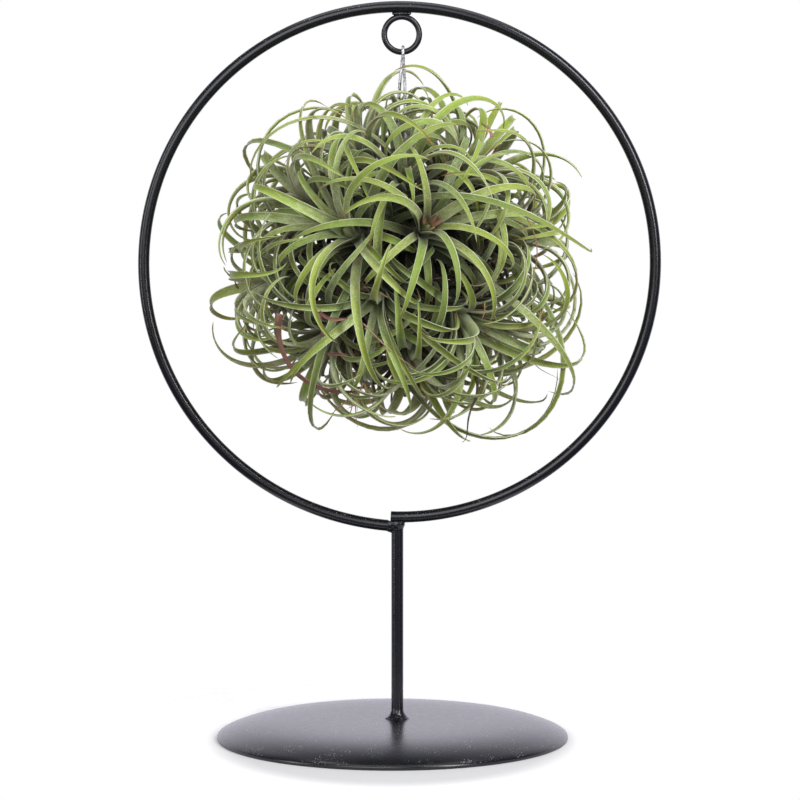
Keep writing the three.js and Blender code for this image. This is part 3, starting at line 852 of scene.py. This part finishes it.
def make_stem():
    """The upright rod with its two puddled welds, as a tube whose radius varies round it."""
    foot = BASE_DROP + BASE_THICK
    hoop_foot = HOOP_Z - HOOP_R
    top = hoop_foot - 2
    heights = np.concatenate([
        np.arange(foot - 0.4, foot + 7.0, WELD_RINGS),
        np.arange(foot + 8.0, top - 12.0, ROD_RINGS),
        np.arange(top - 11.0, top + 0.01, WELD_RINGS),
    ])
    z, turn = np.meshgrid(heights, turns_round(STEM_SIDES), indexing="ij")
    rise = np.clip((z - foot) / FOOT_HIGH, 0, 1)
    foot_weld = (FOOT_R - ROD / 2) * (1 - rise) ** FOOT_HOLLOW
    fillet = FILLET * smooth((z - (top - 4.5)) / 3.0)
    radius = ROD / 2 + foot_weld + fillet
    # The lump is an ellipsoid that reaches out of the rod.
    long, deep, high = WELD_HALF
    level = 1 - ((z - (hoop_foot - WELD_DROP)) / high) ** 2
    a = (np.cos(turn) / long) ** 2 + (np.sin(turn) / deep) ** 2
    b = -2 * WELD_X * np.cos(turn) / long ** 2
    c = (WELD_X / long) ** 2 - level
    inside = b * b - 4 * a * c
    reach = np.where((inside > 0) & (level > 0), (-b + np.sqrt(np.maximum(inside, 0))) / (2 * a), 0)
    radius = np.maximum(radius, reach)
    welded = np.clip(foot_weld / 1.2, 0, 1) + np.clip((radius - ROD / 2 - foot_weld) / 0.8, 0, 1)

    def points_at(radius, middle):
        return np.stack([middle + radius * np.cos(turn), radius * np.sin(turn), z], axis=-1).reshape(-1, 3)

    smooth_points = points_at(radius, 0.0)
    bumps = (lumps(smooth_points, 2.6, 1) + 0.5 * lumps(smooth_points, 1.1, 2)).reshape(z.shape)
    points = points_at(radius + WELD_ROUGH * bumps * np.clip(welded, 0, 1), STEM_X)
    faces = grid_faces(len(heights), STEM_SIDES) + cap_faces(len(heights), STEM_SIDES)
    add_piece("stem_rod", points, faces, BLACK, ["stem"])


def blob(centre, half, sides, rings, roughness, seed):
    """A lumpy ellipsoid."""
    turns = [math.pi * i / rings for i in range(1, rings)]
    profile = [(0, -1)] + [(math.sin(turn), -math.cos(turn)) for turn in turns] + [(0, 1)]
    points, faces = turned(profile, sides)
    scaled = points * half
    swell = 1 + roughness * lumps(scaled + centre, 1.8, seed)
    return scaled * swell[:, None] + centre, faces


def eye_centre():
    return np.array([EYE_X, 0.0, HOOP_Z + HOOP_R - ROD / 2 - GAP - EYE_R - EYE_ROD / 2])


def make_eye():
    """A ring of thinner rod, welded under the hoop's top."""
    centre = eye_centre()
    u, v = np.meshgrid(turns_round(EYE_STEPS), turns_round(EYE_SIDES), indexing="ij")
    rod = EYE_ROD / 2 - EYE_SLACK
    r = EYE_R + rod * np.cos(v)
    points = np.stack([centre[0] + r * np.sin(u), rod * np.sin(v), centre[2] - r * np.cos(u)], axis=-1)
    # The grid's last row is its first one again, and its faces are turned to look outwards.
    count = EYE_STEPS * EYE_SIDES
    faces = [(a, d % count, c % count, b) for a, b, c, d in grid_faces(EYE_STEPS + 1, EYE_SIDES)]
    parts = [(points.reshape(-1, 3), faces)]
    top = centre[2] + EYE_R
    for k, (x, z, half) in enumerate(EYE_WELDS):
        parts.append(blob(np.array([centre[0] + x, 0.0, top + z]), np.array(half), 28, 16, 0.10, k + 3))
    points, faces, _ = joined(parts)
    add_piece("eye_ring", points, faces, BLACK, ["hanging_eye"])


def base_rise(r):
    """Height of the plate's underside above its rim."""
    return BASE_DROP * (1 - (r / BASE_R) ** BASE_ROUNDING)


def make_base():
    """The pressed dish, hollow underneath, with a rolled rim."""
    under = [(r, base_rise(r)) for r in [0] + DISH_RADII]
    rim = RIM + [(RIM_TOP, base_rise(RIM_TOP) + BASE_THICK - 0.03)]
    upper = [(r, base_rise(r) + BASE_THICK) for r in [85] + DISH_RADII[::-1] + [0]]
    points, faces = turned(under + rim + upper, BASE_SIDES)
    points[:, 0] += BASE_X
    add_piece("base_dish", points, faces, BLACK, ["base_plate"])


# The wire.

def wire_line():
    """The hairpin's line: up behind the eye, over its rod and down in front."""
    bend = (EYE_ROD + WIRE) / 2 + GAP
    saddle = eye_centre()[2] - EYE_R
    turns = np.linspace(0, math.pi, WIRE_BEND_STEPS + 1)
    over = [(0, bend * math.cos(turn), saddle + bend * math.sin(turn)) for turn in turns]
    return np.array(BACK_LEG + over + FRONT_LEG[::-1]) + [WIRE_X, 0, 0]


def curve_through(points, spacing):
    """A smooth line through points, sampled about every spacing millimetres."""
    points = np.asarray(points, dtype=float)
    ends = np.concatenate([[2 * points[0] - points[1]], points, [2 * points[-1] - points[-2]]])
    line = []
    for a, b, c, d in zip(ends, ends[1:], ends[2:], ends[3:]):
        count = max(2, int(np.linalg.norm(c - b) / spacing))
        t = (np.arange(count) / count)[:, None]
        # Centripetal knots keep the line from overshooting.
        t1, t2, t3 = np.cumsum([max(np.linalg.norm(way), 1e-6) ** 0.5 for way in (b - a, c - b, d - c)])
        x = t1 + (t2 - t1) * t
        p1 = a + (b - a) * x / t1
        p2 = b + (c - b) * (x - t1) / (t2 - t1)
        p3 = c + (d - c) * (x - t2) / (t3 - t2)
        q1 = p1 + (p2 - p1) * x / t2
        q2 = p2 + (p3 - p2) * (x - t1) / (t3 - t1)
        line.append(q1 + (q2 - q1) * (x - t1) / (t2 - t1))
    line.append(points[-1:])
    return np.concatenate(line)


def make_wire():
    """The wire with its zinc a little uneven."""
    line = curve_through(wire_line(), 0.5)
    radii = WIRE / 2 * (1 + 0.05 * lumps(line, 3.0, 8))
    points, faces = tube(line, radii, 14, (1.0, 0.02, 0.0))
    add_piece("hanger", points, faces, ZINC, ["hanger_wire"])


# The crown, its roots and what has dried.

WANDER_STEP = 1.2
DRIFT_KEPT = 0.86  # from step to step
CROWN_ROOTS = 70
# Dry strands: a rosette, and how many start near its heart. Most are low in the clump.
DRY = ((2, 4), (11, 6), (12, 6), (4, 5), (10, 5), (0, 3), (9, 3), (14, 3), (5, 3), (17, 2), (21, 3))
# What lies over the front of the clump. A piece starts over the gap among the rosettes it
# names, or over the heart of one. Its course is in degrees clockwise from up, as seen from outside, then
# comes how far it bends and how long it is.
# Dead leaves and stalks: how wide, the colour from tan (0) to red-brown (1), the rosettes, and the course.
DEAD = (
    (3.6, 0.95, (5, 2), (195, -95, 60)),
    (2.2, 0.75, (0,), (10, 0, 10)),
    (1.8, 0.85, (1, 2, 12), (120, -40, 15)),
    (2.0, 0.92, (2, 12), (60, 60, 12)),
    (1.5, 0.80, (1, 2, 12), (170, 20, 16)),
    (1.6, 0.90, (5,), (60, 15, 18)),
)
ARCH = 0.12  # how far the middle of a piece stands off, as a share of its length
# Thin strands: how thick, the colour, the rosettes, and the course.
THREADS = (
    (0.35, 0.2, (2,), (130, 10, 40)),
    (0.32, 0.7, (3, 9), (175, 20, 40)),
    (0.32, 0.3, (1, 7), (270, -60, 25)),
    (0.30, 0.8, (5, 12), (40, 10, 15)),
)
LIES_AT = 82  # from the middle of the ball to the start of a dead leaf or thread
HANGS_AT = 72  # and to that of the root and the tuft of straw
ROOT_AMONG = (4, 10, 11)
ROOT_LONG = 46
ROOT_THICK = 0.75
TUFT_AMONG = (11, 12)
TUFT_STRANDS = 10
BUDS = ((0, 7), (3, 4), (8, 3))  # a rosette, and how many bracts show in its heart
BUD_WIDTH = 2.4


def strand(line, thickest, chance, sides=6):
    """Points, faces and marks of a thin tapered strand."""
    share = np.linspace(0, 1, len(line))
    radii = thickest * np.clip(1.05 - share ** 2, 0.18, 1)
    points, faces = tube(line, radii, sides, (0.31, 0.27, 0.91))
    return points, faces, {"along": np.repeat(share, sides), "chance": np.full(len(points), chance)}


def wander(start, way, length, wobble, pull, seed):
    """A line that sets off one way, wanders, and is pulled towards another. It stays in the ball."""
    rng = np.random.default_rng(seed)
    direction = unit(way)
    place = np.array(start, dtype=float)
    line = [place.copy()]
    drift = rng.normal(size=3) * wobble
    for _ in range(int(length / WANDER_STEP)):
        drift = DRIFT_KEPT * drift + rng.normal(size=3) * wobble * 0.5
        direction = unit(direction + drift * 0.25 + np.asarray(pull) * 0.04)
        place = place + direction * WANDER_STEP
        if np.linalg.norm(place - BALL) > BALL_REACH - 1:
            break
        line.append(place.copy())
    return np.array(line)


def make_crown():
    """The lumpy woody ball in the middle, and the dead roots that stand out of it."""
    ball = bmesh.new()
    bmesh.ops.create_icosphere(ball, subdivisions=5, radius=1.0)
    ball.verts.index_update()
    points = np.array([corner.co for corner in ball.verts])
    faces = [tuple(corner.index for corner in face.verts) for face in ball.faces]
    ball.free()
    radius = CROWN_R - 1.6 + 1.0 * lumps(points, 0.35, 21) + 0.5 * lumps(points, 0.12, 22)
    parts = [(points * radius[:, None] + BALL, faces)]
    rng = np.random.default_rng(31)
    for k in range(CROWN_ROOTS):
        out = unit(rng.normal(size=3))
        line = wander(BALL + out * (CROWN_R - 3), out, rng.uniform(16, 44), 0.55, (0, 0, -0.3), 100 + k)
        if len(line) > 4:
            parts.append(strand(line, rng.uniform(0.28, 0.5), 0.0, 5)[:2])
    points, faces, _ = joined(parts)
    add_piece("crown_bark", points, faces, BARK, ["crown"])


def make_dry():
    """Tan strands from dead leaves and roots among the leaves."""
    rng = np.random.default_rng(77)
    parts = []
    for index, how_many in DRY:
        axis, level, upright = axes_of(index)
        for _ in range(how_many):
            out = outwards(level, upright, rng.uniform(0, 2 * math.pi))
            start = BALL + axis * rng.uniform(34, 56) + out * 5
            pull = (rng.normal() * 0.5, -0.2, -0.9)
            way = out + axis * rng.uniform(0.2, 1.0)
            line = wander(start, way, rng.uniform(22, 52), 0.5, pull, int(rng.integers(1e6)))
            if len(line) > 6:
                parts.append(strand(line, rng.uniform(0.26, 0.48), rng.uniform(0, 1)))
    points, faces, marks = joined(parts)
    add_piece("dry_strands", points, faces, STRAW, (), marks)


def strap(points, widest, chance):
    """A dead leaf, stalk or bract, as blade() takes it, along a smooth line through points."""
    line = curve_through(points, 0.3)
    step = np.linalg.norm(np.diff(line, axis=0), axis=1)
    reach = np.append(0.0, np.cumsum(step))
    share = np.linspace(0, 1, STEPS + 1)
    place = np.stack([np.interp(share * reach[-1], reach, line[:, k]) for k in range(3)], axis=1)
    ahead = unit(np.gradient(place, axis=0))
    side = unit(np.cross(ahead, place - BALL))
    return {
        "place": place,
        "side": side,
        "face": np.cross(side, ahead),
        "width": widest * (1 - share ** 3) ** 0.5,
        "length": reach[-1],
        "youth": 0.0,
        "chance": chance,
    }


def among(rosettes):
    """The unit vector towards the middle of a few rosettes."""
    return unit(sum(axes_of(index)[0] for index in rosettes))


def over_ball(rosettes, course, bend, length):
    """A line that runs over the ball on a course that bends evenly."""
    out = among(rosettes)
    steps = max(4, round(length / 1.5))
    line = [BALL + LIES_AT * out]
    for k in range(steps):
        way = (course + bend * (k + 0.5) / steps) * DEGREE
        up = unit(UP - out * out[2])
        out = unit(out + (math.cos(way) * up + math.sin(way) * np.cross(up, out)) * length / steps / LIES_AT)
        line.append(BALL + (LIES_AT + ARCH * length * math.sin(math.pi * (k + 1) / steps)) * out)
    return line


def dry_only(part):
    """The part with just the marks that a strand has too."""
    points, faces, marks = part
    return points, faces, {key: marks[key] for key in ("along", "chance")}


def make_placed():
    """The dead leaves, threads, tuft of straw and root over the front."""
    rng = np.random.default_rng(5)
    parts = []
    for widest, chance, rosettes, course in DEAD:
        parts.append(dry_only(blade(strap(over_ball(rosettes, *course), widest, chance), 1, FILLER_SECTION)))
    for thick, chance, rosettes, course in THREADS:
        parts.append(strand(curve_through(over_ball(rosettes, *course), 0.8), thick, chance))
    for _ in range(TUFT_STRANDS):
        foot = BALL + among(TUFT_AMONG) * HANGS_AT + rng.normal(size=3) * (2.5, 1.0, 2.5)
        way = np.array([rng.uniform(-0.8, 0.4), rng.uniform(-0.3, 0.3), -1.0])
        line = wander(foot, way, rng.uniform(11, 22), 0.3, (0, 0, -0.5), int(rng.integers(1e6)))
        parts.append(strand(line, rng.uniform(0.28, 0.5), rng.uniform(0.0, 0.6)))
    points, faces, marks = joined(parts)
    add_piece("dry_placed", points, faces, STRAW, (), marks)
    start = BALL + among(ROOT_AMONG) * HANGS_AT
    line = wander(start, (-0.1, 0.1, -1.0), ROOT_LONG, 0.3, (-0.2, 0.2, -1.0), 61)
    points, faces, _ = strand(curve_through(line, 0.6), ROOT_THICK, 0.0, 7)
    add_piece("loose_roots", points, faces, BARK)


def make_buds():
    """Pink bracts that show in a few of the hearts."""
    rng = np.random.default_rng(12)
    parts = []
    for index, how_many in BUDS:
        axis, level, upright = axes_of(index)
        heart = BALL + axis * ROSETTES[index][2]
        for k in range(how_many):
            out = outwards(level, upright, k * GOLDEN_ANGLE)
            root = heart - axis * 3 + out * 1.2
            tip = root + axis * rng.uniform(6, 10) + out * rng.uniform(1.0, 3.2)
            bract = strap([root, (root + tip) / 2 + out * 0.4, tip], BUD_WIDTH, rng.uniform(0, 1))
            parts.append(dry_only(blade(bract, 2, FILLER_SECTION)))
    points, faces, marks = joined(parts)
    add_piece("bud_bracts", points, faces, BUD, (), marks)


# The studio, in metres.

FLOOR_HALF = 700  # in millimetres
PAINTED_SHADOW_EDGE = (0.078, 0.102)  # from the plate's middle, where the painted contact shadow under it ends
FLOOR_FADE = (0.12, 0.18)  # where the floor fades into the white
# How bright the world's light is from all round, and from low behind the object.
ROOM = 0.08
BACKDROP = 1.27
BEHIND = (0.15, 0.8)  # how far behind a direction points, where the backdrop starts and is full
LOW = (0.98, 0.22)  # and how far up
WORLD_TINT = (0.97, 0.95, 1.07, 1)
MIDDLE = (0, 0, 0.22)  # what the lights point at
# Each light's place, its width and height, its power, and whether it shows as gloss.
LIGHTS = {
    "key": ((0.95, -1.15, 0.9), (0.3, 1.4), 19, True),
    "key_fill": ((0.95, -1.15, 1.0), (0.7, 1.2), 12, False),
    "overhead": ((0.0, 0.1, 1.5), (1.2, 1.2), 7, True),
    "front": ((-0.5, -1.7, 0.9), (1.4, 1.4), 17, True),
    "side": ((-1.5, -0.65, 0.5), (0.24, 1.3), 6.5, True),
}
PIXEL = 0.000494  # what one pixel of the photo shows at the hoop
IMAGE_WIDE = 800
SENSOR = 36
CAMERA = (0.00014, -1.7, 0.311)
CAMERA_AIM = (0.00014, 0, 0.16934)


def make_stage():
    """A pale floor with a painted contact shadow under the plate, that fades into the white around it."""
    s = Shader("studio_floor")
    place = s.node("ShaderNodeSeparateXYZ", Vector=s.spot())

    def away(across, along):
        squares = [s.math("POWER", s.math("ABSOLUTE", side), 2.0) for side in (across, along)]
        return s.math("SQRT", s.plus(*squares))

    from_plate = away(
        s.minus(place.outputs[0], BASE_X * MM),
        s.math("DIVIDE", s.plus(place.outputs[1], 0.006), 1.35),
    )
    # Painted contact shadow: the floor is grey close round the plate and pale further out.
    s.finish(
        Base_Color=s.mix(s.ramp(from_plate, *PAINTED_SHADOW_EDGE), rgb(186, 186, 188), rgb(246, 246, 247)),
        Roughness=0.9,
        Specular_IOR_Level=0.1,
        Emission_Color=(1.0, 1.0, 1.0, 1.0),
        Emission_Strength=0.2,
    )
    clear = s.node("ShaderNodeBsdfTransparent")
    edge = s.ramp(away(place.outputs[0], place.outputs[1]), *FLOOR_FADE)
    mixed = s.node("ShaderNodeMixShader", i0=edge, i1=s.main.outputs[0], i2=clear.outputs[0])
    s.tree.links.new(mixed.outputs[0], s.tree.nodes["Material Output"].inputs["Surface"])
    corners = [(x * FLOOR_HALF, y * FLOOR_HALF, 0) for x, y in ((-1, -1), (1, -1), (1, 1), (-1, 1))]
    floor = add_mesh("floor", corners, [(0, 1, 2, 3)], s.owner)


def add_aimed(name, data, place, target):
    """A light or a camera at one place, pointed at another."""
    made = add_object(name, data)
    made.location = place
    made.rotation_euler = (Vector(target) - made.location).to_track_quat("-Z", "Y").to_euler()
    return made


def make_world():
    """White to the camera. As light it is a dim room with a bright backdrop."""
    s = Shader("studio", "worlds", "Background")
    direction = s.node("ShaderNodeTexCoord").outputs["Generated"]
    way = s.node("ShaderNodeSeparateXYZ", Vector=direction)
    backdrop = s.times(s.ramp(way.outputs[1], *BEHIND), s.ramp(way.outputs[2], *LOW))
    strength = s.node("ShaderNodeMapRange", i0=backdrop, i3=ROOM, i4=BACKDROP).outputs[0]
    seen = s.node("ShaderNodeLightPath").outputs["Is Camera Ray"]
    return s.finish(
        Color=s.mix(seen, WORLD_TINT, (1, 1, 1, 1)),
        Strength=s.node("ShaderNodeMapRange", i0=seen, i3=strength, i4=1.0).outputs[0],
    )


def make_studio():
    scene = bpy.context.scene
    scene.world = make_world()
    scene.view_settings.view_transform = "Standard"
    for name, (place, size, power, gloss) in LIGHTS.items():
        lamp = bpy.data.lights.new(name, "AREA")
        lamp.shape = "RECTANGLE"
        lamp.size, lamp.size_y = size
        lamp.energy = power
        add_aimed(name, lamp, place, MIDDLE).visible_glossy = gloss
    camera = bpy.data.cameras.new("camera")
    camera.sensor_width = SENSOR
    camera.lens = SENSOR * (-CAMERA[1] / PIXEL) / IMAGE_WIDE
    scene.camera = add_aimed("camera", camera, CAMERA, CAMERA_AIM)


make_studio()
make_stage()
make_hoop()
make_stem()
make_eye()
make_base()
make_wire()
make_crown()
make_rosettes()
make_dry()
make_placed()
make_buds()

bpy.context.view_layer.update()
